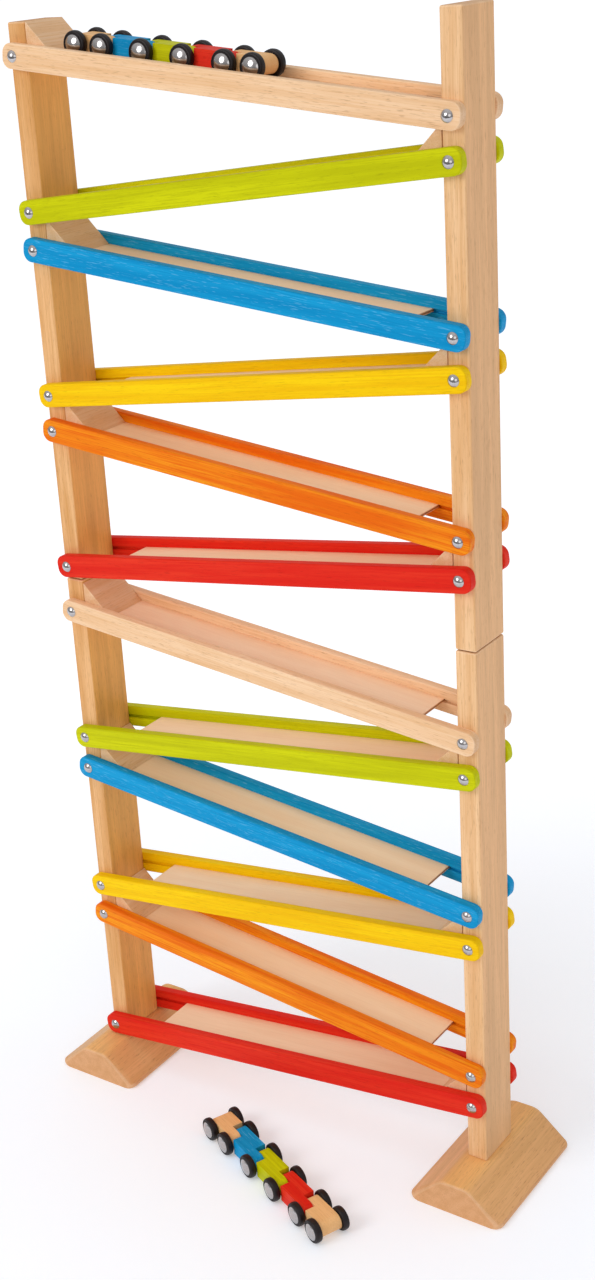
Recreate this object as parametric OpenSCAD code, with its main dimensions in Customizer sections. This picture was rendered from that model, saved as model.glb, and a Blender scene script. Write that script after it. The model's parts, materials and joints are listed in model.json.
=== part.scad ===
// Zig-zag ramp tower of wood with two articulated trains that tumble down it.
// Lengths are in millimetres. X runs along the ramps, +Y to the back, +Z up.
// The origin is on the standing surface, in the middle of the whole set.

/* [Posts and feet] */
// Distance between the left and right rows of rail screws
pivot_span = 391; // [360:1:440]
// Width of a post, along the ramps
post_w = 18; // [18:1:24]
// Depth of a post, from the front rail to the rear rail
post_d = 46.5; // [42:0.5:50]
// Length of each of the two halves of a post
post_half = 470.5; // [470.5:0.5:490]
// Radius of a post's long edges
post_round = 2; // [1:0.5:4]
// Width of a foot
foot_w = 88; // [70:1:110]
// Length of a foot, front to back
foot_l = 133; // [110:1:160]
// Height of a foot
foot_h = 29; // [29:1:36]
// Width of the flat on top of a foot
foot_flat = 14; // [12:1:22]
// Radius of a foot's upper shoulders
foot_shoulder = 14.5; // [8:0.5:14.5]
// Radius of a foot's lower edges
foot_edge = 3; // [2:0.5:5]

/* [Ramps] */
// Height of a post's top above its first rail screws
first_drop = 25.5; // [25:0.5:28]
// Height of a post's seam above the rail screws below it
seam_drop = 28.5; // [26:0.5:28.5]
// Fall of a ramp from its upper to its lower screws
ramp_fall = 46; // [42:1:46]
// Height from a ramp's lower screws to the next ramp's upper screws
ramp_gap = 31; // [29:1:31]
// Height of a rail
rail_h = 20; // [18:0.5:21]
// Thickness of a rail
rail_t = 8.5; // [7:0.5:10]
// Length of a rail beyond the centre of its screw
rail_over = 10.5; // [9:0.5:12]
// Radius of a rail's corners
rail_round = 8; // [4:0.5:9]
// Depth of the groove in a rail's inner face
groove_depth = 3; // [2:0.5:4]
// Thickness of a plywood floor
floor_t = 3; // [2.5:0.5:4]
// Height of a floor's upper face above the middle of its rails
floor_rise = 2; // [0:0.5:3]
// Gap between the end of a floor and the lower post
drop_gap = 38; // [36:1:46]
// Height of a wedge where it meets the post
wedge_h = 25; // [20:1:28]
// Length of a wedge along the ramp
wedge_run = 28; // [22:1:32]

/* [Fasteners] */
// Diameter of a rail screw's domed head
screw_head = 9.5; // [8:0.5:11]
// Height of a rail screw's domed head
screw_dome = 2.5; // [2:0.1:3]
// Diameter of a rail screw's shank
screw_shank = 3.6; // [3:0.1:4]
// Length of a rail screw under its head
screw_length = 20; // [16:1:20]
// Diameter of the dowel in a post's butt joint
dowel_d = 10; // [8:1:10]
// Length of the dowel in a post's butt joint
dowel_l = 40; // [30:2:50]
// Diameter of a foot screw's shank
foot_screw_d = 5; // [4:0.5:5]
// Length of a foot screw, with its head
foot_screw_l = 50; // [40:2:60]
// Diameter of a foot screw's head
foot_screw_head = 9; // [8:0.5:9]
// Distance between the two screws of a foot
foot_screw_gap = 13; // [12:0.5:13]

/* [Trains] */
// Distance between the axles of an end wagon
end_wheelbase = 26; // [24:1:30]
// Distance between the axles of a middle wagon
mid_wheelbase = 39; // [36:1:42]
// Width of a wagon
wagon_w = 20; // [18:1:20]
// Height of a wagon
wagon_h = 15; // [14:0.5:16]
// Diameter of a wheel
wheel_d = 21; // [19:0.5:22]
// Width of a wheel
wheel_w = 6; // [5:0.5:7]
// Radius of a wheel's outer edge
wheel_round = 1.2; // [0.5:0.1:2]
// Diameter of an axle
axle_d = 4; // [3.5:0.5:5]
// Diameter of the domed cap on an axle's end
cap_d = 14.5; // [10:0.5:16]
// Height of the domed cap on an axle's end
cap_dome = 2.4; // [1.5:0.1:2.6]
// Distance along the top ramp from its upper screws to the rear axle of its train
ramp_train_at = 50.5; // [50:0.5:60]
// Rear axle of the loose train, to the left of the tower's middle
loose_left = 38; // [20:1:50]
// Rear axle of the loose train, in front of the tower's middle
loose_front = 74.5; // [74:0.5:90]
// Angle of the loose train to the ramps, in degrees
loose_turn = 23.5; // [15:0.5:30]

/* [Hidden] */
$fn = 64;
ramps = 12;
ramps_per_half = 6;
wagons = 5;
axles = wagons + 1;
// Play of a slip fit in wood, a running fit at an axle, and the air between a wheel and what is near it
slip = 0.1;
running = 0.05;
lug_play = 0.15;
wheel_air = 0.6;
roll_air = 0.3;
bore_extra = 0.8;
// Play of a floor at its post and in its grooves, and of a wedge between its rails
floor_play = 0.4;
groove_play = 1;
wedge_play = 0.4;
// Counterbore and domed underside of a foot screw's head
head_depth = 6;
head_room = 0.6;
head_dome = 2;
// Distance from a rail's screws to the ends of its groove, behind the posts
groove_stop = 6;
// Overlap of a cutting shape with the face that it cuts
eps = 1;

slope = atan2(ramp_fall, pivot_span);
rail_run = norm([pivot_span, ramp_fall]);
post_r = post_d / 2;
half_pitch = pivot_span / 2;
seam_z = foot_h + post_half;
screw_out = post_r + rail_t;
// Length of a rail screw and of a foot screw inside a post
screw_bite = screw_length - rail_t;
foot_screw_bite = foot_screw_l + head_depth - foot_h;
wheel_r = wheel_d / 2;
wheel_in = wagon_w / 2 + wheel_air;
wheel_out = wheel_in + wheel_w;
// A hinge's round lug, and the face of the notch that the next wagon's lug turns in
lug_r = wagon_h / 2;
notch = lug_r + 1;

// Wheelbases from the rear wagon to the front one, and the place of each axle along a train
wheelbases = [end_wheelbase, mid_wheelbase, mid_wheelbase, mid_wheelbase, end_wheelbase];
function axle_at(k) = k == 0 ? 0 : axle_at(k - 1) + wheelbases[k - 1];

// The loose train reaches furthest forward, and the set is centred front to back between it and the feet
loose_reach = loose_front + axle_at(wagons) * sin(loose_turn)
    + wheel_out * cos(loose_turn) + wheel_r * sin(loose_turn);
tower_y = (loose_reach - foot_l / 2) / 2;

// Height of ramp i's upper screws, counted from the top, and 1 where they are on the right
function upper_z(i) = seam_z + (i < ramps_per_half ? post_half - first_drop : -seam_drop)
    - (i % ramps_per_half) * (ramp_fall + ramp_gap);
function starts_right(i) = i % 2;
// Height of ramp i's screws on a side, which is -1 or 1
function screw_z(i, side) = upper_z(i) - ((side > 0) == (starts_right(i) == 1) ? 0 : ramp_fall);
// Height of a floor's upper face at a distance from the upper screws
function floor_top(x) = floor_rise / cos(slope) - x * tan(slope);

sides = ["left", "right"];
trains = ["ramp_train", "loose_train"];
function two(i) = str(i < 9 ? "0" : "", i + 1);
function rails_name(i) = str("rails_", two(i));
function wagon_name(t, k) = str(trains[t], "_wagon_", k + 1);
function axle_name(t, k) = str(trains[t], "_axle_", k + 1);
function wheels_name(t, k) = str(trains[t], "_wheels_", k + 1);

natural = "#edc59a";
green = "#c8cc00";
blue = "#0c93cf";
yellow = "#f7cb00";
orange = "#ee7010";
red = "#e02a20";
beech = "#dba368";
plywood = "#e3b996";
steel = "#d4d4d8";
black = "#1c1b1b";
stains = [natural, green, blue, yellow, orange, red];
wagon_stains = [natural, blue, green, red, natural];

// Placing

module at_tower() {
    translate([0, tower_y, 0])
        children();
}

module at_post(side) {
    at_tower()
        translate([side * half_pitch, 0, 0])
            children();
}

// Origin at ramp i's upper screws, with +X level and towards the lower post
module at_ramp_level(i) {
    at_tower()
        mirror([starts_right(i), 0, 0])
            translate([-half_pitch, 0, upper_z(i)])
                children();
}

// The same, with +X down the ramp
module at_ramp(i) {
    at_ramp_level(i)
        rotate([0, slope, 0])
            children();
}

// Origin at the rear axle of train t, with +X towards its front
module at_train(t) {
    if (t == 0)
        at_ramp(0)
            translate([ramp_train_at, 0, floor_rise + roll_air + wheel_r])
                children();
    else
        at_tower()
            translate([-loose_left, -loose_front, wheel_r])
                rotate([0, 0, -loose_turn])
                    children();
}

// Turns a flat outline of X and Z so that it stands, and makes it thick in Y
module stand(thickness) {
    translate([0, thickness / 2, 0])
        rotate([90, 0, 0])
            linear_extrude(thickness)
                children();
}

module both_faces() {
    for (m = [0, 1])
        mirror([0, m, 0])
            children();
}

// Shared shapes

module rounded_rect(w, h, r) {
    square([w - 2 * r, h], center = true);
    square([w, h - 2 * r], center = true);
    for (x = [-1, 1], y = [-1, 1])
        translate([x * (w / 2 - r), y * (h / 2 - r)])
            circle(r = r);
}

// A domed cap that stands on Z = 0
module dome(d, h) {
    ball = (d * d / 4 + h * h) / (2 * h);
    intersection() {
        translate([0, 0, h - ball])
            sphere(r = ball);
        cylinder(d = d + 2 * eps, h = h + eps);
    }
}

// Posts and feet

// A loaf-shaped section: flat on top, with round shoulders and rounded lower edges
module foot_section() {
    hull()
        for (side = [-1, 1]) {
            translate([side * foot_flat / 2, foot_h - foot_shoulder])
                circle(r = foot_shoulder);
            translate([side * (foot_w / 2 - foot_edge), foot_edge])
                circle(r = foot_edge, $fn = 32);
        }
}

module foot(side) {
    color(beech)
        at_post(side)
            difference() {
                stand(foot_l)
                    foot_section();
                for (y = [-1, 1] * foot_screw_gap / 2)
                    translate([0, y, -eps]) {
                        cylinder(d = foot_screw_d + 2 * slip, h = foot_h + 2 * eps);
                        cylinder(d = foot_screw_head + head_room, h = head_depth + eps);
                    }
            }
}

// One half of a post: side is -1 or 1, upper is 0 or 1
module post(side, upper) {
    base = foot_h + upper * post_half;
    color(natural)
        at_post(side)
            difference() {
                translate([0, 0, base])
                    linear_extrude(post_half)
                        rounded_rect(post_w, post_d, post_round);
                translate([0, 0, seam_z - dowel_l / 2 - eps])
                    cylinder(d = dowel_d + 2 * slip, h = dowel_l + 2 * eps);
                for (i = [0 : ramps - 1])
                    if ((i < ramps_per_half) == (upper == 1))
                        both_faces()
                            translate([0, -post_r - eps, screw_z(i, side)])
                                rotate([-90, 0, 0])
                                    cylinder(d = screw_shank + 2 * slip, h = screw_bite + 2 * eps);
                if (upper == 0)
                    for (y = [-1, 1] * foot_screw_gap / 2)
                        translate([0, y, foot_h - eps])
                            cylinder(d = foot_screw_d + 2 * slip, h = foot_screw_bite + 2 * eps);
            }
}

module post_dowels() {
    color(beech)
        for (side = [-1, 1])
            at_post(side)
                translate([0, 0, seam_z - dowel_l / 2])
                    cylinder(d = dowel_d, h = dowel_l);
}

module foot_screws() {
    color(steel)
        for (side = [-1, 1], y = [-1, 1] * foot_screw_gap / 2)
            at_post(side)
                translate([0, y, head_depth]) {
                    cylinder(d = foot_screw_d, h = foot_screw_l);
                    mirror([0, 0, 1])
                        dome(foot_screw_head, head_dome);
                }
}

// Ramps

module rail_screws() {
    color(steel)
        for (side = [-1, 1], i = [0 : ramps - 1])
            at_post(side)
                both_faces()
                    translate([0, -screw_out, screw_z(i, side)]) {
                        rotate([90, 0, 0])
                            dome(screw_head, screw_dome);
                        rotate([-90, 0, 0])
                            cylinder(d = screw_shank, h = screw_length);
                    }
}

module rail_outline() {
    difference() {
        translate([rail_run / 2, 0])
            rounded_rect(rail_run + 2 * rail_over, rail_h, rail_round);
        for (x = [0, rail_run])
            translate([x, 0])
                circle(d = screw_shank + bore_extra);
    }
}

// The front and rear rails of ramp i, grooved between the posts
module rails(i) {
    color(stains[i % ramps_per_half])
        at_ramp(i)
            both_faces()
                difference() {
                    translate([0, -post_r - rail_t / 2, 0])
                        stand(rail_t)
                            rail_outline();
                    translate([groove_stop, -post_r - groove_depth, floor_rise - floor_t - slip])
                        cube([rail_run - 2 * groove_stop, groove_depth + eps, floor_t + 2 * slip]);
                }
}

// Floors of the ramps of one half, upper is 0 or 1
module floors(upper) {
    start = (post_w / 2 + floor_play) / cos(slope);
    end = (pivot_span - post_w / 2 - drop_gap) / cos(slope);
    width = post_d + 2 * groove_depth - groove_play;
    color(plywood)
        for (i = [0 : ramps - 1])
            if ((i < ramps_per_half) == (upper == 1))
                at_ramp(i)
                    translate([start, -width / 2, floor_rise - floor_t])
                        cube([end - start, width, floor_t]);
}

// Wedges against one post, right is 0 or 1
module wedges(right) {
    near = post_w / 2;
    far = near + wedge_run;
    color(natural)
        for (i = [0 : ramps - 1])
            if (starts_right(i) == right)
                at_ramp_level(i)
                    stand(post_d - wedge_play)
                        polygon([
                            [near, floor_top(near)],
                            [near, floor_top(near) + wedge_h],
                            [far, floor_top(far)]
                        ]);
}

// Trains

// Half of a wagon's width, from the middle to one side, between two places along the train
module wagon_side(from, to, side) {
    translate([from, side < 0 ? -wagon_w / 2 : 0, -lug_r])
        cube([to - from, wagon_w / 2, wagon_h]);
}

// A round lug about an axle, on one half of the width, with play at the middle
module lug(at, towards, side) {
    width = wagon_w / 2 - lug_play;
    translate([at, side * (lug_play + width / 2), 0]) {
        rotate([90, 0, 0])
            cylinder(r = lug_r, h = width, center = true);
        translate([towards * notch / 2, 0, 0])
            cube([notch, width, wagon_h], center = true);
    }
}

// Wagon k of train t: its front lug is on the near side and its rear lug on the far side
module wagon(t, k) {
    rear = axle_at(k);
    front = axle_at(k + 1);
    body_from = k == 0 ? rear : rear + notch;
    body_to = k == wagons - 1 ? front : front - notch;
    color(wagon_stains[k])
        at_train(t)
            difference() {
                union() {
                    for (side = [-1, 1])
                        wagon_side(body_from, body_to, side);
                    if (k == 0)
                        rotate([90, 0, 0])
                            cylinder(r = lug_r, h = wagon_w, center = true);
                    else
                        lug(rear, 1, 1);
                    if (k == wagons - 1)
                        translate([front, 0, 0])
                            rotate([90, 0, 0])
                                cylinder(r = lug_r, h = wagon_w, center = true);
                    else
                        lug(front, -1, -1);
                }
                for (x = [rear, front])
                    translate([x, 0, 0])
                        rotate([90, 0, 0])
                            cylinder(d = axle_d + 2 * running, h = wagon_w + 2 * eps, center = true);
            }
}

// Axle k of train t, with its two domed caps
module axle(t, k) {
    color(steel)
        at_train(t)
            translate([axle_at(k), 0, 0]) {
                rotate([90, 0, 0])
                    cylinder(d = axle_d, h = 2 * wheel_out, center = true);
                both_faces()
                    translate([0, -wheel_out, 0])
                        rotate([90, 0, 0])
                            dome(cap_d, cap_dome);
            }
}

// Half of a wheel's section: its radius by its width, rounded at the outer edge of both faces
module wheel_section() {
    bore = axle_d / 2 + slip / 2;
    translate([bore, 0])
        square([wheel_r - wheel_round - bore, wheel_w]);
    translate([wheel_r - wheel_round - eps, wheel_round])
        square([wheel_round + eps, wheel_w - 2 * wheel_round]);
    for (y = [wheel_round, wheel_w - wheel_round])
        translate([wheel_r - wheel_round, y])
            circle(r = wheel_round);
}

// The two wheels on axle k of train t
module wheels(t, k) {
    color(black)
        at_train(t)
            translate([axle_at(k), 0, 0])
                both_faces()
                    translate([0, -wheel_in, 0])
                        rotate([90, 0, 0])
                            rotate_extrude()
                                wheel_section();
}

for (s = [0, 1]) {
    foot(2 * s - 1);
    post(2 * s - 1, 0);
    post(2 * s - 1, 1);
    wedges(s);
}
post_dowels();
foot_screws();
rail_screws();
floors(1);  // upper_floors
floors(0);  // lower_floors
for (i = [0 : ramps - 1])
    rails(i);
for (t = [0, 1]) {
    for (k = [0 : wagons - 1])
        wagon(t, k);
    for (k = [0 : axles - 1]) {
        axle(t, k);
        wheels(t, k);
    }
}
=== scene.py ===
import json
import math
import random

import bmesh
import bpy
from bpy.props import FloatProperty, FloatVectorProperty, PointerProperty
from mathutils import Matrix, Vector


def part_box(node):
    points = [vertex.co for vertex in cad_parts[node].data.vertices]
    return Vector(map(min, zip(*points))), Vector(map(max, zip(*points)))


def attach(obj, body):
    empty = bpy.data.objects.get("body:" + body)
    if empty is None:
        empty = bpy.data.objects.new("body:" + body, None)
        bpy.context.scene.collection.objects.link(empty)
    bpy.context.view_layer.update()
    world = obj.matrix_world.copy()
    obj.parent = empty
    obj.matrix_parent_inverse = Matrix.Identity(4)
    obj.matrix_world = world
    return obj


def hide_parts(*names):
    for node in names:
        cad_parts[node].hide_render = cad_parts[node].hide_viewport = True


bl_info = {
    "name": "Ramp Tower and Trains",
    "version": (1, 0, 0),
    "blender": (4, 5, 0),
    "location": "3D View > Sidebar > Ramp Tower",
    "description": "Dresses a wooden zig-zag ramp tower and its two articulated trains on their frame",
    "category": "Object",
}

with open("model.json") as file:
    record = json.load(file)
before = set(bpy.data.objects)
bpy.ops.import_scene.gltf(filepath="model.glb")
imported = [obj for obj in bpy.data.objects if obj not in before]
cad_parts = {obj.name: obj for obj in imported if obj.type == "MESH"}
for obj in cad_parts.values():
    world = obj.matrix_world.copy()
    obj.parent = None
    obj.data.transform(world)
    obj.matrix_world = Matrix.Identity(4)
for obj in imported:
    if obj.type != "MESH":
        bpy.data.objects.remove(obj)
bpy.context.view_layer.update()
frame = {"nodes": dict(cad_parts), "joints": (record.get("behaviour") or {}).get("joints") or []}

MM = 0.001
# Points nearer to each other than this are the same point
ONE_SPOT = 1e-4 * MM
RAMPS = 12
RAMPS_PER_HALF = 6
WAGONS = 5
AXLES = WAGONS + 1
RAIL_STAINS = ("natural", "green", "blue", "yellow", "orange", "red")
WAGON_STAINS = ("natural", "blue", "green", "red", "natural")
ROLL_AXES = {
    joint["name"].split("_")[0]: Vector(joint["axis"])
    for joint in frame["joints"]
    if joint["type"] == "slide"
}
SLOPE = math.atan2(-ROLL_AXES["ramp"].z, ROLL_AXES["ramp"].x)


# Where the frame's pieces are

def middle(node):
    lo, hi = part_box(node)
    return (Vector(lo) + Vector(hi)) / 2


def extent(node):
    lo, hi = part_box(node)
    return Vector(hi) - Vector(lo)


def rails_node(ramp):
    return f"rails_{ramp + 1:02d}"


def fall_side(ramp):
    """1 where a ramp falls to the right, and -1 where it falls to the left."""
    return 1 if ramp % 2 == 0 else -1


def ramp_place(ramp):
    """The middle of a ramp's rails, with X along them."""
    return Matrix.Translation(middle(rails_node(ramp))) @ Matrix.Rotation(fall_side(ramp) * SLOPE, 4, "Y")


def axle_place(train, axle):
    """The middle of an axle, with X towards the front of its train and Y to the train's left."""
    ahead = ROLL_AXES[train]
    left = Vector((0, 0, 1)).cross(ahead).normalized()
    up = ahead.cross(left)
    turn = Matrix((ahead, left, up)).transposed().to_4x4()
    return Matrix.Translation(middle(f"{train}_train_axle_{axle + 1}")) @ turn


POST = extent("left_upper_post")
POST_SPAN = middle("right_upper_post").x - middle("left_upper_post").x
RAIL_RUN = POST_SPAN / math.cos(SLOPE)
FOOT = extent("left_foot")


# Sizes and colours

def linear(colour):
    """A colour such as "f7cb00", turned from sRGB to linear."""
    parts = [int(colour[k:k + 2], 16) / 255 for k in (0, 2, 4)]
    return [c / 12.92 if c <= 0.04045 else ((c + 0.055) / 1.055) ** 2.4 for c in parts]


def length(name, description, mm):
    return FloatProperty(
        name=name, description=description, default=mm * MM, min=0, unit="LENGTH", precision=5)


def colour(name, description, value):
    return FloatVectorProperty(
        name=name, description=description, default=linear(value), min=0, max=1, subtype="COLOR")


class TowerSizes(bpy.types.PropertyGroup):
    """Sizes of the tower that the frame doesn't give"""

    rail_height: length("Rail height", "Height of a rail", 20)
    rail_over: length("Rail overhang", "Length of a rail beyond its screw", 10.5)
    rail_corner: length("Rail corner", "Radius of a rail's corners", 8)
    rail_edge: length("Rail edge", "Rounding of a rail's edges", 1.1)
    groove_depth: length("Groove depth", "Depth of the groove that holds a floor", 3)
    groove_low: length("Groove bottom", "Depth of the groove's lower wall under the rail's middle", 1.1)
    groove_high: length("Groove top", "Height of the groove's upper wall above the rail's middle", 2.1)
    groove_stop: length("Groove stop", "Distance from a rail's screws to the ends of its groove", 6)
    groove_play: length("Groove play", "Gap between a floor's edge and the back of its groove", 0.5)
    floor_thickness: length("Floor thickness", "Thickness of a plywood floor", 3)
    floor_rise: length("Floor rise", "Height of a floor's upper face above the rail's middle", 2)
    floor_edge: length("Floor edge", "Rounding of a floor's edges", 0.4)
    floor_play: length("Floor play", "Gap between a floor and the upper post", 0.4)
    drop_gap: length("Drop gap", "Gap between a floor's end and the lower post", 38)
    wedge_height: length("Wedge height", "Height of a wedge at its post", 25)
    wedge_run: length("Wedge run", "Length of a wedge along its ramp", 28)
    wedge_play: length("Wedge play", "Gap between a wedge and its post", 0.4)
    wedge_side: length("Wedge side play", "Gap between a wedge and each of its rails", 0.2)
    wedge_edge: length("Wedge edge", "Rounding of a wedge's edges", 0.7)
    post_edge: length("Post edge", "Rounding of a post's long edges", 1.6)
    post_end: length("Post end", "Rounding at the ends of a post's halves", 2.2)
    post_gap: length("Post gap", "Gap that shows between a post's halves", 0.9)
    foot_flat: length("Foot flat", "Width of the flat on top of a foot", 14)
    foot_shoulder: length("Foot shoulder", "Radius of a foot's shoulders", 14.5)
    foot_edge: length("Foot edge", "Radius of a foot's lower edges", 3)
    foot_corner: length("Foot corner", "Radius of a foot's corners, seen from above", 7)
    foot_end: length("Foot end", "Rounding of a foot's top at its front and back", 1.8)
    screw_head: length("Screw head", "Diameter of a rail screw's domed head", 9.5)
    screw_dome: length("Screw dome", "Height of a rail screw's domed head", 2.5)
    screw_rim: length("Screw rim", "Height of the straight rim under the dome", 0.3)
    screw_shank: length("Screw shank", "Diameter of a rail screw's shank", 3.6)
    screw_length: length("Screw length", "Length of a rail screw under its head", 20)


class TrainSizes(bpy.types.PropertyGroup):
    """Sizes of the trains that the frame doesn't give"""

    wagon_width: length("Wagon width", "Width of a wagon", 20)
    wagon_height: length("Wagon height", "Height of a wagon, and diameter of its round ends", 15)
    wagon_edge: length("Wagon edge", "Rounding of a wagon's edges", 0.8)
    notch: length("Notch", "Distance from an axle to the face behind the next wagon's lug", 8.5)
    lug_play: length("Lug play", "Half of the gap between two lugs", 0.15)
    wheel_in: length("Wheel face", "Distance from the train's middle to a wheel's inner face", 10.6)
    wheel_width: length("Wheel width", "Width of a wheel", 6)
    wheel_diameter: length("Wheel diameter", "Diameter of a wheel", 21)
    wheel_crown: length("Wheel crown", "How much the tread swells in its middle", 0.25)
    wheel_edge: length("Wheel edge", "Rounding of a wheel's tread edges", 1.3)
    ring_radius: length("Ring radius", "Radius of the ring groove in a wheel's faces", 8.5)
    ring_width: length("Ring width", "Width of the ring groove", 0.7)
    ring_depth: length("Ring depth", "Depth of the ring groove", 0.45)
    axle_diameter: length("Axle diameter", "Diameter of an axle", 4)
    bore_play: length("Bore play", "Gap between an axle and its wheel's bore", 0.05)
    cap_diameter: length("Cap diameter", "Diameter of the domed cap on an axle", 14.5)
    cap_dome: length("Cap dome", "Height of the domed cap on an axle", 2.4)
    cap_rim: length("Cap rim", "Height of the straight rim under the dome", 0.3)


class ToyColours(bpy.types.PropertyGroup):
    """Colours of the woods, stains, metals and rubber"""

    post: colour("Post", "Varnished wood of the right post", "f2c798")
    post_dark: colour("Post grain", "Darker grain of the right post", "dca56b")
    # Painted shade on the right post's faces towards the left and right
    post_side: colour("Post edge", "Edges of the right post's planks", "ecb884")
    post_left: colour("Left post", "Varnished wood of the left post", "ecb982")
    post_left_dark: colour("Left post grain", "Darker grain of the left post", "cf914c")
    # Painted shade warmed by bounce light on the left post's faces towards the left and right
    post_left_side: colour("Left post edge", "Edges of the left post's planks", "efb05c")
    foot: colour("Foot", "Varnished wood of the feet", "e0a97a")
    # Painted light from above on the top of the feet
    foot_top: colour("Foot top", "Varnished wood on the top of the feet", "f2bb76")
    foot_dark: colour("Foot grain", "Darker grain of the feet", "cd955e")
    natural: colour("Natural rail", "Varnished wood of the unstained rails", "f7d2ab")
    natural_dark: colour("Natural rail grain", "Darker grain of the unstained rails", "e2ae78")
    wedge: colour("Wedge", "Varnished wood of the wedges", "efc8a0")
    wagon: colour("Natural wagon", "Varnished wood of the unstained wagons", "f2bf84")
    wagon_dark: colour("Natural wagon grain", "Darker grain of the unstained wagons", "e2a968")
    # The plywood colour is also the painted highlight along the rounded edges of the bare wood
    ply: colour("Plywood", "Face veneer of the floors", "fddebc")
    ply_dark: colour("Plywood figure", "Darker figure of the floors' face veneer", "f6cea6")
    ply_core: colour("Plywood core", "Middle ply of the floors", "a8703f")
    green: colour("Green", "Lime green stain", "babb00")
    green_pale: colour("Pale green", "Lime green stain where the wood took less", "d0d206")
    blue: colour("Blue", "Blue stain", "0289c2")
    blue_pale: colour("Pale blue", "Blue stain where the wood took less", "149bd2")
    blue_fleck: colour("Blue fleck", "Dry flecks in the blue stain", "7cc4e6")
    yellow: colour("Yellow", "Yellow stain", "f0b900")
    yellow_pale: colour("Pale yellow", "Yellow stain where the wood took less", "fad008")
    orange: colour("Orange", "Orange stain", "e66206")
    orange_pale: colour("Pale orange", "Orange stain where the wood took less", "f79a1a")
    red: colour("Red", "Red stain", "dc2014")
    red_pale: colour("Pale red", "Red stain where the wood took less", "e83a22")
    pore: colour("Pores", "Short dark pores in the bare wood", "9c6434")
    steel: colour("Steel", "Bright plating of the screws and axles", "bab6b6")
    zinc: colour("Zinc", "Zinc plating of the hidden screws", "a9aeb4")
    rubber: colour("Wheel", "Moulded wheels", "150d0f")
    surface: colour("Surface", "Surface that the set stands on", "e2e6ee")


def tower_sizes():
    return bpy.context.scene.ramp_tower_sizes


def train_sizes():
    return bpy.context.scene.ramp_tower_train_sizes


def colours():
    return bpy.context.scene.ramp_tower_colours


# Materials

def add(tree, kind, inputs=None, **settings):
    """Adds a node with its settings; an input is a number, a colour or another node's output."""
    node = tree.nodes.new(kind)
    for key, value in settings.items():
        setattr(node, key, value)
    for key, value in (inputs or {}).items():
        if isinstance(value, bpy.types.NodeSocket):
            tree.links.new(value, node.inputs[key])
        else:
            node.inputs[key].default_value = value
    return node


def blank(name):
    """A new material with its tree and its shader."""
    material = bpy.data.materials.new(name)
    material.use_nodes = True
    return material, material.node_tree, material.node_tree.nodes["Principled BSDF"]


def rgba(value, factor=1.0):
    return (*[min(1.0, c * factor) for c in value], 1.0)


def streaks(tree, grain, along, across, detail):
    """Noise drawn out along the grain; a streak's length and width are in millimetres."""
    density = (1 / along, 1 / across, 1 / across)
    scaled = add(tree, "ShaderNodeVectorMath", {0: grain, 1: density}, operation="MULTIPLY")
    noise = add(tree, "ShaderNodeTexNoise", {"Vector": scaled.outputs[0], "Scale": 1.0, "Detail": detail})
    return noise.outputs[0]


def share(tree, value, low, high, most, least=0.0):
    """A noise value from low to high, spread over least to most."""
    spread = add(tree, "ShaderNodeMapRange", {0: value, 1: low, 2: high, 3: least, 4: most})
    return spread.outputs[0]


def blend(tree, factor, first, second):
    mix = add(tree, "ShaderNodeMix", {0: factor, 6: first, 7: second}, data_type="RGBA")
    return mix.outputs[2]


def sawn_wood(name, light, dark, pore, edge, side=None, bands=0.55, pores=0.5, end=0.3, rub=0.3, shine=0.2):
    """Wood with its grain along the piece: broad bands, fibres, short pores and end grain. Painted light and
    shade fall on the faces that look one way, and a painted line runs along the rounded edges: a highlight
    where the edge colour is pale, shade where it is dark.
    """
    material, tree, shader = blank(name)
    grain = add(tree, "ShaderNodeAttribute", attribute_name="grain").outputs["Vector"]
    facing = add(tree, "ShaderNodeAttribute", attribute_name="facing").outputs["Vector"]
    worn = add(tree, "ShaderNodeAttribute", attribute_name="worn").outputs["Fac"]
    faces = add(tree, "ShaderNodeSeparateXYZ", {0: facing}).outputs
    light, dark = rgba(light), rgba(dark)
    # The side colour goes on the faces that look along the second axis after the grain: painted light and
    # shade for how the light falls there
    if side:
        painted_face_shading = share(tree, faces[1], 0.6, 1.0, 1.0)
        light = blend(tree, painted_face_shading, light, rgba(side))
        dark = blend(tree, painted_face_shading, dark, rgba(side, 0.78))
    # Bands are 8 mm wide as in plain-sawn boards. Fibres are really 0.3 mm and are drawn 1.1 mm wide to show.
    broad = streaks(tree, grain, 200, 8, 3)
    fibre = streaks(tree, grain, 55, 1.1, 5)
    # Pores are 5 to 15 mm long and really 0.2 mm wide, drawn 0.6 mm wide to show.
    short = streaks(tree, grain, 9, 0.6, 2)
    base = blend(tree, share(tree, broad, 0.38, 0.64, bands), light, dark)
    base = blend(tree, share(tree, fibre, 0.46, 0.68, bands), base, dark)
    base = blend(tree, share(tree, short, 0.6, 0.7, pores), base, rgba(pore))
    base = blend(tree, share(tree, faces[0], 0.5, 1.0, end), base, rgba(pore))
    # Painted highlight along the rounded edges where the edge colour is pale, painted shade where it is dark
    base = blend(tree, share(tree, worn, 0.0, 1.0, rub), base, rgba(edge))
    tree.links.new(base, shader.inputs["Base Color"])
    tree.links.new(share(tree, fibre, 0.3, 0.7, 0.52, 0.42), shader.inputs["Roughness"])
    shader.inputs["Specular IOR Level"].default_value = shine
    bump = add(tree, "ShaderNodeBump", {"Strength": 0.2, "Distance": 0.3 * MM, "Height": fibre})
    tree.links.new(bump.outputs[0], shader.inputs["Normal"])
    return material


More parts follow.
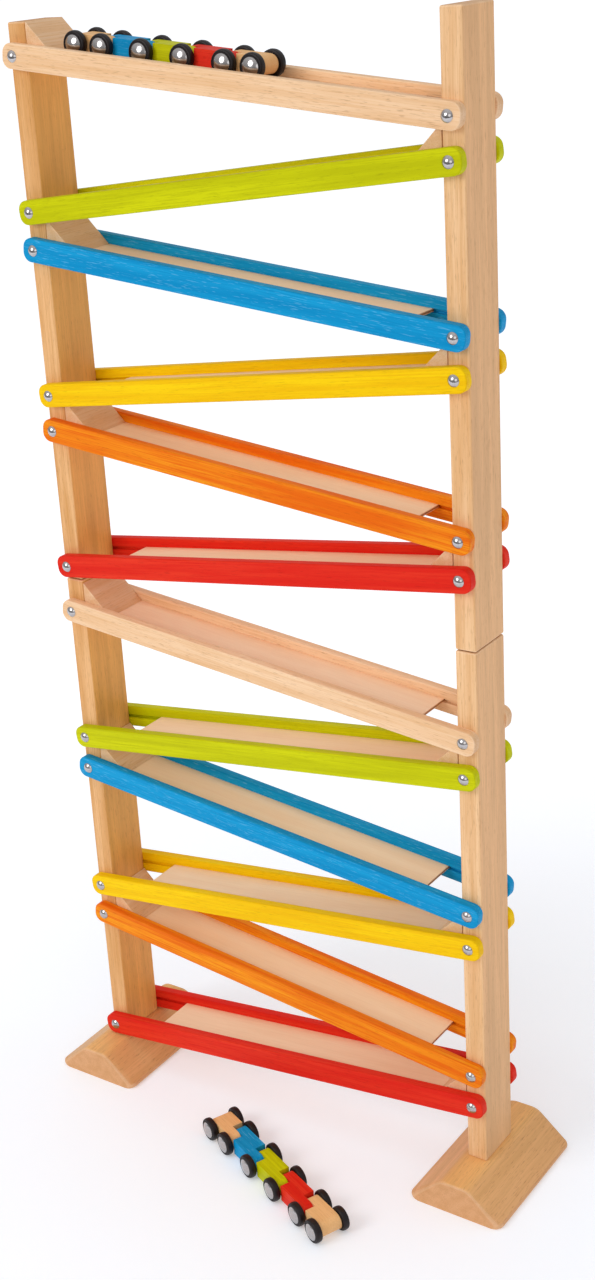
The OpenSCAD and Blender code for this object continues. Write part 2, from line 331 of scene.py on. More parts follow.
def varnished_rubberwood_post(side):
    # Rubberwood planks under clear satin varnish: warm, even, with fine straight grain and small dark pores.
    # The left post's planks are more honey-coloured. Their faces towards the left and right get painted shade
    # on the right post and painted shade warmed by bounce light on the left one, and all their rounded edges a
    # painted highlight.
    c = colours()
    if side == "left":
        return sawn_wood("rubberwood_satin_varnish_post_left", c.post_left, c.post_left_dark, c.pore, c.ply,
                         side=c.post_left_side, bands=0.7, pores=0.4)
    return sawn_wood("rubberwood_satin_varnish_post_right", c.post, c.post_dark, c.pore, c.ply,
                     side=c.post_side, bands=0.65, pores=0.4)


def varnished_rubberwood_feet():
    # The same wood in thick blocks: redder and darker, with dark pores, painted golden light on top and a
    # painted highlight along the rounded edges.
    c = colours()
    return sawn_wood("rubberwood_satin_varnish_feet", c.foot, c.foot_dark, c.pore, c.ply,
                     side=c.foot_top, pores=0.45, end=0.06, rub=0.15)


def varnished_rubberwood_rails():
    # Planed strips under clear satin varnish: pale, with soft bands.
    c = colours()
    return sawn_wood("rubberwood_satin_varnish_rails", c.natural, c.natural_dark, c.pore, c.ply,
                     pores=0.4, end=0.25)


def varnished_rubberwood_wedges():
    # Small blocks cut across a strip: end grain on their two triangular sides.
    c = colours()
    return sawn_wood("rubberwood_satin_varnish_wedges", c.wedge, c.natural_dark, c.pore, c.ply,
                     pores=0.3, end=0.05)


def varnished_rubberwood_wagons():
    # Small planed blocks under clear varnish, more orange than the rails.
    c = colours()
    return sawn_wood("rubberwood_satin_varnish_wagons", c.wagon, c.wagon_dark, c.pore, c.ply,
                     bands=0.4, pores=0.2, end=0.1)


def stained_rubberwood(stain):
    # Translucent stain wiped over the wood: strong colour, paler streaks where the grain took less of it, and
    # deeper in the pores. The blue stain leaves pale flecks instead. Along the rounded edges the deep colour
    # is painted shade.
    value = getattr(colours(), stain)
    pale = getattr(colours(), f"{stain}_pale")
    # The deep colour fills the pores and is also the painted shade along the rounded edges
    deep = [0.62 * c for c in value]
    fleck = colours().blue_fleck if stain == "blue" else deep
    return sawn_wood(f"rubberwood_{stain}_stain", pale, value, fleck, deep, bands=0.9,
                     pores=0.4, end=0.0, rub=0.12, shine=0.08)


def bare_dowel_wood():
    # Turned beech dowel, unfinished: dry and matt.
    c = colours()
    material, tree, shader = blank("beech_turned_bare")
    place = add(tree, "ShaderNodeTexCoord").outputs["Object"]
    # Beech rays are 1 to 3 mm long; the node's own coordinates are in metres.
    flecks = streaks(tree, place, 3 * MM, 0.8 * MM, 2)
    base = blend(tree, share(tree, flecks, 0.4, 0.7, 0.7), rgba(c.foot), rgba(c.foot_dark))
    tree.links.new(base, shader.inputs["Base Color"])
    shader.inputs["Roughness"].default_value = 0.7
    return material


def birch_plywood():
    # Thin sanded plywood: pale rotary-cut face with wide soft figure, and a brown middle ply at the edges.
    c = colours()
    material, tree, shader = blank("birch_plywood_sanded")
    grain = add(tree, "ShaderNodeAttribute", attribute_name="grain").outputs["Vector"]
    facing = add(tree, "ShaderNodeAttribute", attribute_name="facing").outputs["Vector"]
    level = add(tree, "ShaderNodeSeparateXYZ", {0: grain}).outputs[2]
    upward = add(tree, "ShaderNodeSeparateXYZ", {0: facing}).outputs[2]
    figure = streaks(tree, grain, 120, 14, 4)
    fibre = streaks(tree, grain, 30, 1.2, 3)
    base = blend(tree, share(tree, figure, 0.35, 0.7, 0.6), rgba(c.ply), rgba(c.ply_dark))
    base = blend(tree, share(tree, fibre, 0.45, 0.75, 0.25), base, rgba(c.ply_dark, 0.88))
    # Three plies of 1 mm: the middle one is darkest where an edge shows it, and the edge as a whole is darker
    depth = add(tree, "ShaderNodeMath", {0: level}, operation="ABSOLUTE").outputs[0]
    core = share(tree, depth, 0.4, 0.7, 0.45, 1.0)
    edge = share(tree, upward, 0.2, 0.6, 0.0, 1.0)
    seen = add(tree, "ShaderNodeMath", {0: core, 1: edge}, operation="MULTIPLY").outputs[0]
    base = blend(tree, seen, base, rgba(c.ply_core))
    tree.links.new(base, shader.inputs["Base Color"])
    tree.links.new(share(tree, fibre, 0.3, 0.7, 0.62, 0.5), shader.inputs["Roughness"])
    shader.inputs["Specular IOR Level"].default_value = 0.25
    bump = add(tree, "ShaderNodeBump", {"Strength": 0.12, "Distance": 0.2 * MM, "Height": fibre})
    tree.links.new(bump.outputs[0], shader.inputs["Normal"])
    return material


def plated_steel(name, value, smooth, grit):
    """Plated steel with a faint unevenness; grit is the size of its marks in millimetres."""
    material, tree, shader = blank(name)
    place = add(tree, "ShaderNodeTexCoord").outputs["Object"]
    fine = {"Vector": place, "Scale": 1 / (grit * MM), "Detail": 3}
    marks = add(tree, "ShaderNodeTexNoise", fine).outputs[0]
    base = blend(tree, share(tree, marks, 0.4, 0.7, 1.0), rgba(value), rgba(value, 0.86))
    tree.links.new(base, shader.inputs["Base Color"])
    tree.links.new(share(tree, marks, 0.3, 0.7, smooth + 0.1, smooth), shader.inputs["Roughness"])
    shader.inputs["Metallic"].default_value = 1.0
    return material


def bright_plated_steel():
    # Pressed domes plated bright: near mirror, with soft edges to what they reflect.
    return plated_steel("steel_bright_plated", colours().steel, 0.1, 1.5)


def zinc_plated_steel():
    # Wood screws with a grey zinc coat: dull metal.
    return plated_steel("steel_zinc_plated", colours().zinc, 0.35, 1.0)


def moulded_wheel_rubber():
    # Solid moulded wheels, brown-black and satin, with faint mottling from the mould.
    c = colours()
    material, tree, shader = blank("rubber_moulded_black")
    place = add(tree, "ShaderNodeTexCoord").outputs["Object"]
    # The mould's texture is about 0.2 mm and is drawn at 0.8 mm to show.
    fine = {"Vector": place, "Scale": 1 / (0.8 * MM), "Detail": 3}
    mottle = add(tree, "ShaderNodeTexNoise", fine).outputs[0]
    base = blend(tree, share(tree, mottle, 0.35, 0.7, 1.0), rgba(c.rubber), rgba(c.rubber, 1.7))
    tree.links.new(base, shader.inputs["Base Color"])
    tree.links.new(share(tree, mottle, 0.3, 0.7, 0.5, 0.36), shader.inputs["Roughness"])
    shader.inputs["Specular IOR Level"].default_value = 0.3
    bump = add(tree, "ShaderNodeBump", {"Strength": 0.1, "Distance": 0.1 * MM, "Height": mottle})
    tree.links.new(bump.outputs[0], shader.inputs["Normal"])
    return material


def studio_paper():
    # Seamless white paper lit to white: matt, with hardly visible fibre. The glow stands for the lamps that
    # light the paper farther back, so it's weaker within 0.3 m, where the set's own soft shadows show.
    material, tree, shader = blank("paper_white_matt")
    place = add(tree, "ShaderNodeTexCoord").outputs["Object"]
    fibre = add(tree, "ShaderNodeTexNoise", {"Vector": place, "Scale": 1 / (4 * MM), "Detail": 2}).outputs[0]
    value = colours().surface
    tree.links.new(blend(tree, fibre, rgba(value), rgba(value, 0.985)), shader.inputs["Base Color"])
    shader.inputs["Roughness"].default_value = 0.9
    shader.inputs["Specular IOR Level"].default_value = 0.1
    shader.inputs["Emission Color"].default_value = (1, 1, 1, 1)
    away = add(tree, "ShaderNodeVectorMath", {0: place}, operation="LENGTH").outputs["Value"]
    tree.links.new(share(tree, away, 0.3, 1.1, 0.48, 0.29), shader.inputs["Emission Strength"])
    return material


# Solids

def arc(x, z, radius, start, end, steps):
    """Points of an arc, with its angles in degrees."""
    turns = [math.radians(start + (end - start) * k / steps) for k in range(steps + 1)]
    return [(x + radius * math.cos(t), z + radius * math.sin(t)) for t in turns]


def round_edges(solid, edges, radius, steps=3):
    bmesh.ops.bevel(solid, geom=list(edges), offset=radius, offset_type="OFFSET", segments=steps, profile=0.5,
                    affect="EDGES", clamp_overlap=True)


def sharp_edges(solid, degrees=30):
    solid.normal_update()
    limit = math.radians(degrees)
    return [e for e in solid.edges if len(e.link_faces) == 2 and e.calc_face_angle() > limit]


def prism(outline, low, high, axis):
    """A solid of an outline, pushed along one axis; the outline is in the other two, in order."""
    solid = bmesh.new()
    rings = []
    for level in (low, high):
        ring = []
        for a, b in outline:
            point = [a, b]
            point.insert(axis, level)
            ring.append(solid.verts.new(point))
        rings.append(ring)
    count = len(outline)
    for ring in rings:
        solid.faces.new(ring)
    for k in range(count):
        n = (k + 1) % count
        solid.faces.new((rings[0][k], rings[0][n], rings[1][n], rings[1][k]))
    bmesh.ops.recalc_face_normals(solid, faces=solid.faces)
    return solid


def turned(profile, steps, closed):
    """A turned solid about Y from pairs of radius and height. An open profile starts and ends on the axis."""
    solid = bmesh.new()
    rings = []
    for radius, height in profile:
        if radius == 0:
            rings.append([solid.verts.new((0, height, 0))])
            continue
        ring = []
        for k in range(steps):
            t = 2 * math.pi * k / steps
            ring.append(solid.verts.new((radius * math.cos(t), height, radius * math.sin(t))))
        rings.append(ring)
    pairs = list(zip(rings, rings[1:]))
    if closed:
        pairs.append((rings[-1], rings[0]))
    for first, second in pairs:
        for k in range(steps):
            n = (k + 1) % steps
            corners = [ring[i % len(ring)] for ring, i in ((first, k), (first, n), (second, n), (second, k))]
            solid.faces.new(list(dict.fromkeys(corners)))
    bmesh.ops.recalc_face_normals(solid, faces=solid.faces)
    return solid


def dome_profile(diameter, height, rim, steps=7):
    """Profile of a domed head from its middle to its rim, above height 0."""
    half = diameter / 2
    rise = height - rim
    ball = (half * half + rise * rise) / (2 * rise)
    spread = math.asin(half / ball)
    points = []
    for k in range(steps + 1):
        t = spread * k / steps
        points.append((ball * math.sin(t), height - ball + ball * math.cos(t)))
    points[0] = (0, height)
    return points + [(half, 0)]


def grain_of(solid, along, seed):
    """Each vertex's place in the wood (in mm, grain first), which way it faces, and if it lies on a rounded
    edge, where the materials paint a line of highlight on bare wood and of shade on stained wood.
    """
    solid.normal_update()
    shift = random.Random(seed)
    offset = Vector((shift.uniform(0, 900), shift.uniform(0, 300), 0))
    order = [along, (along + 1) % 3, (along + 2) % 3]
    places = [Vector([v.co[a] / MM for a in order]) + offset for v in solid.verts]
    facing = [[abs(v.normal[a]) for a in order] for v in solid.verts]
    # The faces of a rounded edge are narrow strips: twice their area over their outline is their width
    strip_width = 0.8 * MM
    strips = {f for f in solid.faces if 2 * f.calc_area() < strip_width * f.calc_perimeter()}
    worn = [1.0 if strips.issuperset(v.link_faces) else 0.0 for v in solid.verts]
    return places, facing, worn


def make_piece(name, node, body, material, place, solids, along=0):
    """Joins solids, each with its own place, into one piece that stands for a node and rides a body."""
    back = place.inverted()
    points, faces, grain, facing, worn = [], [], [], [], []
    for k, (solid, at) in enumerate(solids):
        # Where rounded edges meet they can leave two points on one spot, with faces of no area between them
        bmesh.ops.remove_doubles(solid, verts=solid.verts, dist=ONE_SPOT)
        wood = grain_of(solid, along, f"{name}{k}")
        for values, more in zip((grain, facing, worn), wood):
            values += more
        solid.verts.index_update()
        start = len(points)
        move = back @ at
        points += [move @ v.co for v in solid.verts]
        faces += [[start + v.index for v in f.verts] for f in solid.faces]
        solid.free()
    mesh = bpy.data.meshes.new(name)
    mesh.from_pydata(points, [], faces)
    for key, values in (("grain", grain), ("facing", facing)):
        layer = mesh.attributes.new(key, "FLOAT_VECTOR", "POINT")
        layer.data.foreach_set("vector", [c for v in values for c in v])
    mesh.attributes.new("worn", "FLOAT", "POINT").data.foreach_set("value", worn)
    mesh.materials.append(material)
    mesh.shade_smooth()
    mesh.set_sharp_from_angle(angle=math.radians(40))
    piece = bpy.data.objects.new(name, mesh)
    bpy.context.scene.collection.objects.link(piece)
    piece.matrix_world = place
    piece.modifiers.new("even_shading", "WEIGHTED_NORMAL").keep_sharp = True
    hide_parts(node)
    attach(piece, body)
    return piece


# The tower

def post_solid(half):
    """Half of a post about its middle: long edges and ends rounded, with a fine gap at the seam."""
    s = tower_sizes()
    x, y, z = POST / 2
    low = -z + (s.post_gap / 2 if half == "upper" else 0)
    high = z - (s.post_gap / 2 if half == "lower" else 0)
    solid = prism([(-x, -y), (x, -y), (x, y), (-x, y)], low, high, 2)
    upright = [e for e in solid.edges if abs((e.verts[0].co - e.verts[1].co).z) > z]
    round_edges(solid, upright, s.post_edge)
    rims = [e for e in sharp_edges(solid) if abs(e.verts[0].co.z - e.verts[1].co.z) < 1e-6]
    round_edges(solid, rims, s.post_end, 4)
    return solid


def foot_section(half_width, height):
    """Outline of a foot from its right lower edge over the top to the left one."""
    s = tower_sizes()
    low = Vector((half_width - s.foot_edge, s.foot_edge))
    high = Vector((s.foot_flat / 2, height - s.foot_shoulder))
    reach = high - low
    # Angle of the outward normal of the flank that touches both circles
    flank = math.atan2(reach.y, reach.x) - math.acos((s.foot_edge - s.foot_shoulder) / reach.length)
    lean = math.degrees(flank)
    right = arc(low.x, low.y, s.foot_edge, -90, lean, 6) + arc(high.x, high.y, s.foot_shoulder, lean, 90, 6)
    return right + [(-x, z) for x, z in reversed(right)]


def foot_solid():
    """A foot about the middle of its sole: a loaf section from front to back, drawn in at its ends."""
    s = tower_sizes()
    half_width, half_length, height = FOOT.x / 2, FOOT.y / 2, FOOT.z
    solid = bmesh.new()
    # Sections are closer together towards the rounded ends
    steps = 6
    bends = [1 - math.cos(math.pi / 2 * k / steps) for k in range(steps + 1)]
    depths = sorted({round(r * b, 6) for r in (s.foot_corner, s.foot_end) for b in bends})
    stations = [-half_length + d for d in depths] + [half_length - d for d in reversed(depths)]
    rings = []
    for y in stations:
        into_corner = max(0, abs(y) - (half_length - s.foot_corner))
        into_end = max(0, abs(y) - (half_length - s.foot_end))
        narrow = s.foot_corner - math.sqrt(max(0, s.foot_corner ** 2 - into_corner ** 2))
        drop = s.foot_end - math.sqrt(max(0, s.foot_end ** 2 - into_end ** 2))
        outline = foot_section(half_width - narrow, height - drop)
        rings.append([solid.verts.new((x, y, z)) for x, z in outline])
    count = len(rings[0])
    for first, second in zip(rings, rings[1:]):
        for k in range(count):
            n = (k + 1) % count
            solid.faces.new((first[k], first[n], second[n], second[k]))
    solid.faces.new(rings[0])
    solid.faces.new(rings[-1])
    bmesh.ops.recalc_face_normals(solid, faces=solid.faces)
    return solid


def rail_solid(side):
    """A rail with its groove; side is -1 for the front one and 1 for the rear one."""
    s = tower_sizes()
    half, top = RAIL_RUN / 2 + s.rail_over, s.rail_height / 2
    thickness = (extent(rails_node(0)).y - POST.y) / 2
    inner, outer, back = (side * (POST.y / 2 + d) for d in (0, thickness, s.groove_depth))
    r = s.rail_corner

    def end_at(z):
        over = max(0, abs(z) - (top - r))
        return half - r + math.sqrt(r * r - over * over)

    def part(level, up):
        """Outline from the right end, over the top or under the bottom, to the left end."""
        start = math.degrees(math.asin(max(0, abs(level) - (top - r)) / r))
        corner = arc(half - r, top - r, r, start, 90, 8)
        right = [(end_at(level), abs(level))] + [p for p in corner if p[1] > abs(level) + 1e-6]
        whole = right + [(-x, z) for x, z in reversed(right)]
        return whole if up else [(-x, -z) for x, z in whole]

    upper = part(s.groove_high, True)
    lower = part(-s.groove_low, False)
    stop = RAIL_RUN / 2 - s.groove_stop
    corners = [(stop, s.groove_high), (-stop, s.groove_high), (-stop, -s.groove_low), (stop, -s.groove_low)]
    solid = bmesh.new()

    def ring(outline, y):
        return [solid.verts.new((x, y, z)) for x, z in outline]

    outs, ins = ring(upper + lower, outer), ring(upper + lower, inner)
    mouth, bed = ring(corners, inner), ring(corners, back)
    split, count = len(upper), len(outs)
    solid.faces.new(outs)
    # The inner face lies round the groove's mouth: above, below and at both ends
    solid.faces.new(ins[:split] + [mouth[1], mouth[0]])
    solid.faces.new(ins[split:] + [mouth[3], mouth[2]])
    solid.faces.new((ins[split - 1], ins[split], mouth[2], mouth[1]))
    solid.faces.new((ins[-1], ins[0], mouth[0], mouth[3]))
    solid.faces.new(bed)
    for k in range(4):
        n = (k + 1) % 4
        solid.faces.new((mouth[k], mouth[n], bed[n], bed[k]))
    rims = []
    for k in range(count):
        n = (k + 1) % count
        solid.faces.new((outs[k], outs[n], ins[n], ins[k]))
        rims += [solid.edges.get((outs[k], outs[n])), solid.edges.get((ins[k], ins[n]))]
    bmesh.ops.recalc_face_normals(solid, faces=solid.faces)
    round_edges(solid, rims, s.rail_edge)
    return solid


def floor_solid(ramp):
    """A floor about its middle ply, along its ramp: from the upper post to the drop gap."""
    s = tower_sizes()
    start = (POST.x / 2 + s.floor_play) / math.cos(SLOPE) - RAIL_RUN / 2
    end = (POST_SPAN - POST.x / 2 - s.drop_gap) / math.cos(SLOPE) - RAIL_RUN / 2
    wide = POST.y / 2 + s.groove_depth - s.groove_play
    xs = sorted((fall_side(ramp) * start, fall_side(ramp) * end))
    half = s.floor_thickness / 2
    solid = prism([(xs[0], -wide), (xs[1], -wide), (xs[1], wide), (xs[0], wide)], -half, half, 2)
    round_edges(solid, sharp_edges(solid), s.floor_edge, 2)
    return solid


def wedge_solid(ramp):
    """A wedge about the upper screws of its ramp, on the floor and against the post."""
    s = tower_sizes()
    side = fall_side(ramp)
    near = POST.x / 2 + s.wedge_play
    far = near + s.wedge_run
    wide = POST.y / 2 - s.wedge_side

    def floor_at(x):
        return s.floor_rise / math.cos(SLOPE) - x * math.tan(SLOPE)

    outline = [(near, floor_at(near)), (near, floor_at(near) + s.wedge_height), (far, floor_at(far))]
    solid = prism([(side * x, z) for x, z in outline], -wide, wide, 1)
    round_edges(solid, sharp_edges(solid), s.wedge_edge, 2)
    return solid


def upper_screws_place(ramp):
    """The middle between a ramp's upper screws, level."""
    return Matrix.Translation(ramp_place(ramp) @ Vector((-fall_side(ramp) * RAIL_RUN / 2, 0, 0)))


class RAMPTOWER_OT_posts(bpy.types.Operator):
    """Makes the four halves of the two posts"""

    bl_idname = "ramptower.posts"
    bl_label = "Posts"

    def execute(self, context):
        for side in ("left", "right"):
            material = varnished_rubberwood_post(side)
            for half in ("lower", "upper"):
                node = f"{side}_{half}_post"
                place = Matrix.Translation(middle(node))
                make_piece(f"post_{side}_{half}", node, "tower", material, place,
                           [(post_solid(half), place)], along=2)
        return {"FINISHED"}


class RAMPTOWER_OT_feet(bpy.types.Operator):
    """Makes the two loaf-shaped feet"""

    bl_idname = "ramptower.feet"
    bl_label = "Feet"

    def execute(self, context):
        material = varnished_rubberwood_feet()
        for side in ("left", "right"):
            node = f"{side}_foot"
            place = Matrix.Translation(middle(node) - Vector((0, 0, FOOT.z / 2)))
            make_piece(f"foot_{side}", node, "tower", material, place,
                       [(foot_solid(), place)], along=1)
        return {"FINISHED"}


class RAMPTOWER_OT_rails(bpy.types.Operator):
    """Makes the twelve pairs of grooved rails"""

    bl_idname = "ramptower.rails"
    bl_label = "Rails"

    def execute(self, context):
        woods = {}
        for ramp in range(RAMPS):
            stain = RAIL_STAINS[ramp % RAMPS_PER_HALF]
            if stain not in woods:
                plain = stain == "natural"
                woods[stain] = varnished_rubberwood_rails() if plain else stained_rubberwood(stain)
            place = ramp_place(ramp)
            make_piece(f"rail_pair_{ramp + 1:02d}", rails_node(ramp), "tower", woods[stain], place,
                       [(rail_solid(-1), place), (rail_solid(1), place)])
        return {"FINISHED"}


class RAMPTOWER_OT_floors(bpy.types.Operator):
    """Makes the plywood floors of the upper and lower ramps"""

    bl_idname = "ramptower.floors"
    bl_label = "Floors"

    def execute(self, context):
        material = birch_plywood()
        s = tower_sizes()
        lift = Matrix.Translation((0, 0, s.floor_rise - s.floor_thickness / 2))
        for half, first in (("upper", 0), ("lower", RAMPS_PER_HALF)):
            node = f"{half}_floors"
            ramps = range(first, first + RAMPS_PER_HALF)
            place = Matrix.Translation(middle(node))
            make_piece(f"ply_floors_{half}", node, "tower", material, place,
                       [(floor_solid(ramp), ramp_place(ramp) @ lift) for ramp in ramps])
        return {"FINISHED"}


class RAMPTOWER_OT_wedges(bpy.types.Operator):
    """Makes the wedges at the upper ends of the floors"""

    bl_idname = "ramptower.wedges"
    bl_label = "Wedges"

    def execute(self, context):
        material = varnished_rubberwood_wedges()
        for side, first in (("left", 0), ("right", 1)):
            node = f"{side}_wedges"
            ramps = range(first, RAMPS, 2)
            place = Matrix.Translation(middle(node))
            make_piece(f"wedge_blocks_{side}", node, "tower", material, place,
                       [(wedge_solid(ramp), upper_screws_place(ramp)) for ramp in ramps], along=1)
        return {"FINISHED"}


class RAMPTOWER_OT_screws(bpy.types.Operator):
    """Makes the domed rail screws, and finishes the hidden dowels and foot screws"""

    bl_idname = "ramptower.screws"
    bl_label = "Screws and dowels"

    def execute(self, context):
        s = tower_sizes()
        shank = s.screw_shank / 2
        profile = dome_profile(s.screw_head, s.screw_dome, s.screw_rim)
        profile += [(shank, 0), (shank, -s.screw_length), (0, -s.screw_length)]
        out = extent(rails_node(0)).y / 2
        solids = []
        for ramp in range(RAMPS):
            for end in (-1, 1):
                for side in (-1, 1):
                    at = ramp_place(ramp) @ Vector((end * RAIL_RUN / 2, side * out, 0))
                    turn = Matrix.Rotation(math.pi if side < 0 else 0, 4, "Z")
                    solids.append((turned(profile, 28, False), Matrix.Translation(at) @ turn))
        make_piece("rail_screw_domes", "rail_screws", "tower", bright_plated_steel(),
                   Matrix.Translation(middle("rail_screws")), solids)
        for node, material in (("post_dowels", bare_dowel_wood()), ("foot_screws", zinc_plated_steel())):
            mesh = frame["nodes"][node].data
            mesh.materials.clear()
            mesh.materials.append(material)
        return {"FINISHED"}


# The trains

def wagon_solid(run, first, last):
    """A wagon about its rear axle, with its front axle at run. Lugs are half as wide as the wagon."""
    s = train_sizes()
    half, r, play, notch = s.wagon_width / 2, s.wagon_height / 2, s.lug_play, s.notch
    tail, nose = -r, run + r
    if last:
        front = [(nose, -half), (nose, half)]
    else:
        front = [(nose, -half), (nose, -play), (run - notch, -play), (run - notch, half)]
    if first:
        rear = [(tail, half), (tail, -half)]
    else:
        rear = [(tail, half), (tail, play), (notch, play), (notch, -half)]
    solid = prism(front + rear, -r, r, 2)
    round_ends = [
        e for e in solid.edges
        if all(abs(v.co.x - tail) < 1e-6 or abs(v.co.x - nose) < 1e-6 for v in e.verts)
        and abs(e.verts[0].co.z - e.verts[1].co.z) < 1e-6 and abs(e.verts[0].co.x - e.verts[1].co.x) < 1e-6
    ]
    # Two rounded edges make a round end, and a hair of flat between them keeps them apart
    hair = 0.01 * MM
    round_edges(solid, round_ends, r - hair, 9)
    round_edges(solid, sharp_edges(solid, 45), s.wagon_edge, 2)
    return solid


def wheel_solid(side):
    """A wheel about its axle's middle: swelling tread, rounded edges and a ring groove in both faces."""
    s = train_sizes()
    bore, radius, edge = s.axle_diameter / 2 + s.bore_play, s.wheel_diameter / 2, s.wheel_edge
    ring, wide, deep = s.ring_radius, s.ring_width / 2, s.ring_depth
    shoulder = radius - s.wheel_crown
    face = [(bore, 0), (ring - wide, 0), (ring - wide / 2, deep), (ring + wide / 2, deep), (ring + wide, 0)]
    corner = arc(shoulder - edge, edge, edge, -90, 0, 5)
    first = face + corner
    second = [(r, s.wheel_width - h) for r, h in reversed(first)]
    profile = [(r, side * (s.wheel_in + h)) for r, h in first + [(radius, s.wheel_width / 2)] + second]
    return turned(profile, 48, True)


def axle_solid():
    """An axle with a domed cap on both ends."""
    s = train_sizes()
    out, radius = s.wheel_in + s.wheel_width, s.axle_diameter / 2
    cap = [(r, out + h) for r, h in dome_profile(s.cap_diameter, s.cap_dome, s.cap_rim)] + [(radius, out)]
    return turned(cap + [(r, -h) for r, h in reversed(cap)], 32, False)


class RAMPTOWER_OT_wagons(bpy.types.Operator):
    """Makes the five wagons of both trains"""

    bl_idname = "ramptower.wagons"
    bl_label = "Wagons"

    def execute(self, context):
        for train in ROLL_AXES:
            for k, stain in enumerate(WAGON_STAINS):
                plain = stain == "natural"
                name = "rubberwood_satin_varnish_wagons" if plain else f"rubberwood_{stain}_stain"
                material = bpy.data.materials.get(name)
                if material is None:
                    material = varnished_rubberwood_wagons() if plain else stained_rubberwood(stain)
                place = axle_place(train, k)
                run = (axle_place(train, k + 1).translation - place.translation).length
                solid = wagon_solid(run, k == 0, k == WAGONS - 1)
                make_piece(f"{train}_wagon_block_{k + 1}", f"{train}_train_wagon_{k + 1}",
                           f"{train}_wagon_{k + 1}", material, place, [(solid, place)])
        return {"FINISHED"}


class RAMPTOWER_OT_wheels(bpy.types.Operator):
    """Makes the wheels and capped axles of both trains"""

    bl_idname = "ramptower.wheels"
    bl_label = "Wheels and axles"

    def execute(self, context):
        rubber = moulded_wheel_rubber()
        steel = bpy.data.materials.get("steel_bright_plated") or bright_plated_steel()
        for train in ROLL_AXES:
            for k in range(AXLES):
                place = axle_place(train, k)
                body = f"{train}_wheels_{k + 1}"
                make_piece(f"{train}_wheel_pair_{k + 1}", f"{train}_train_wheels_{k + 1}", body,
                           rubber, place, [(wheel_solid(-1), place), (wheel_solid(1), place)])
                make_piece(f"{train}_capped_axle_{k + 1}", f"{train}_train_axle_{k + 1}", body,
                           steel, place, [(axle_solid(), place)])
        return {"FINISHED"}


# The stage

# The paper reaches far to the back and the sides, and ends in front, behind the photographer, so that bright
# metal mirrors a darker band there
PAPER_REACH = 150.0
PAPER_FRONT = -1.4
# Strength of the world where the camera sees it, just past white
WHITE_BEHIND = 1.05
# Round softboxes: where each one stands, in metres, and its power in watts
SOFTBOX_SIZE = 1.3
SOFTBOXES = {
    "key_softbox": ((-0.8, -2.0, 1.6), 20.0),
    "fill_softbox": ((1.3, -1.9, 1.0), 4.5),
}
# The photograph's viewpoint: its turn about Z, tilt down and roll in radians, its place from the tower's foot,
# its lens for a 36 mm picture height, and its shift
VIEW_TURN, VIEW_TILT, VIEW_ROLL = 0.64633, 0.36787, -0.07488
VIEW_X, VIEW_Y, VIEW_Z = 0.82080, -1.15578, 1.03319
VIEW_LENS = 50.9615
VIEW_SHIFT = (0.05779, -0.01488)


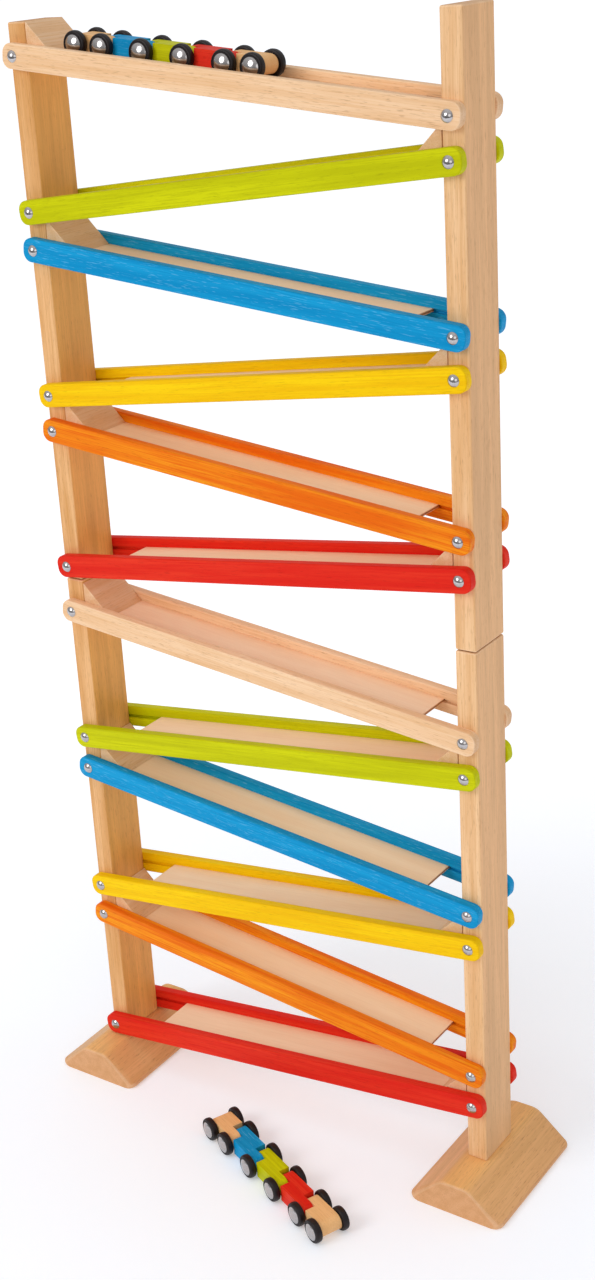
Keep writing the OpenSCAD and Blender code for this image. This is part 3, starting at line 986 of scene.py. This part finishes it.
class RAMPTOWER_OT_stage(bpy.types.Operator):
    """Makes the pale surface, the soft light and the camera"""

    bl_idname = "ramptower.stage"
    bl_label = "Stage"

    def execute(self, context):
        scene = context.scene
        reach, front = PAPER_REACH, PAPER_FRONT
        corners = [(-reach, front, 0), (reach, front, 0), (reach, reach, 0), (-reach, reach, 0)]
        ground = bpy.data.meshes.new("pale_surface")
        ground.from_pydata(corners, [], [(0, 1, 2, 3)])
        ground.materials.append(studio_paper())
        surface = bpy.data.objects.new("pale_surface", ground)
        scene.collection.objects.link(surface)

        # A studio that is brighter above than at its walls, and white where it shows behind the set
        world = bpy.data.worlds.new("soft_studio")
        world.use_nodes = True
        tree = world.node_tree
        direction = add(tree, "ShaderNodeTexCoord").outputs["Generated"]
        height = add(tree, "ShaderNodeSeparateXYZ", {0: direction}).outputs[2]
        behind = add(tree, "ShaderNodeLightPath").outputs["Is Camera Ray"]
        glow = share(tree, height, -0.6, 1.0, 0.9, 0.1)
        strength = add(tree, "ShaderNodeMix", {0: behind, 2: glow, 3: WHITE_BEHIND})
        tree.links.new(strength.outputs[0], tree.nodes["Background"].inputs["Strength"])
        tree.nodes["Background"].inputs["Color"].default_value = (1, 1, 1, 1)
        scene.world = world
        # One softbox is high in front on the left, nearer to the tower's top than to its feet; a weaker one is
        # on the right
        aim = middle("left_upper_post")
        for name, (stand, watts) in SOFTBOXES.items():
            light = bpy.data.lights.new(name, "AREA")
            light.shape = "DISK"
            light.size = SOFTBOX_SIZE
            light.energy = watts
            lamp = bpy.data.objects.new(name, light)
            lamp.location = stand
            lamp.rotation_euler = (aim - lamp.location).to_track_quat("-Z", "Y").to_euler()
            lamp.visible_camera = False
            scene.collection.objects.link(lamp)
        scene.view_settings.view_transform = "Standard"

        level = math.cos(VIEW_TILT)
        forward = Vector((-math.sin(VIEW_TURN) * level, math.cos(VIEW_TURN) * level, -math.sin(VIEW_TILT)))
        right = forward.cross(Vector((0, 0, 1))).normalized()
        up = right.cross(forward)
        across = math.cos(VIEW_ROLL) * right + math.sin(VIEW_ROLL) * up
        upward = math.cos(VIEW_ROLL) * up - math.sin(VIEW_ROLL) * right
        data = bpy.data.cameras.new("photo_view")
        data.sensor_width = 36.0
        data.lens = VIEW_LENS
        data.shift_x, data.shift_y = VIEW_SHIFT
        data.clip_end = 2 * PAPER_REACH
        camera = bpy.data.objects.new("photo_view", data)
        stand = Vector((VIEW_X, middle("left_foot").y + VIEW_Y, VIEW_Z))
        aim = Matrix((across, upward, -forward)).transposed().to_4x4()
        camera.matrix_world = Matrix.Translation(stand) @ aim
        scene.collection.objects.link(camera)
        scene.camera = camera
        return {"FINISHED"}


class RAMPTOWER_PT_panel(bpy.types.Panel):
    """Lists the steps that dress the ramp tower"""

    bl_idname = "RAMPTOWER_PT_panel"
    bl_label = "Ramp Tower"
    bl_space_type = "VIEW_3D"
    bl_region_type = "UI"
    bl_category = "Ramp Tower"

    def draw(self, context):
        for step in STEPS:
            self.layout.operator(step.bl_idname)


STEPS = (
    RAMPTOWER_OT_posts,
    RAMPTOWER_OT_feet,
    RAMPTOWER_OT_rails,
    RAMPTOWER_OT_floors,
    RAMPTOWER_OT_wedges,
    RAMPTOWER_OT_screws,
    RAMPTOWER_OT_wagons,
    RAMPTOWER_OT_wheels,
    RAMPTOWER_OT_stage,
)
CLASSES = (TowerSizes, TrainSizes, ToyColours, *STEPS, RAMPTOWER_PT_panel)


def register():
    for cls in CLASSES:
        bpy.utils.register_class(cls)
    bpy.types.Scene.ramp_tower_sizes = PointerProperty(type=TowerSizes)
    bpy.types.Scene.ramp_tower_train_sizes = PointerProperty(type=TrainSizes)
    bpy.types.Scene.ramp_tower_colours = PointerProperty(type=ToyColours)


def unregister():
    del bpy.types.Scene.ramp_tower_sizes
    del bpy.types.Scene.ramp_tower_train_sizes
    del bpy.types.Scene.ramp_tower_colours
    for cls in reversed(CLASSES):
        bpy.utils.unregister_class(cls)


def main():
    register()
    for step in STEPS:
        group, name = step.bl_idname.split(".")
        getattr(getattr(bpy.ops, group), name)()


if __name__ == "__main__":
    main()
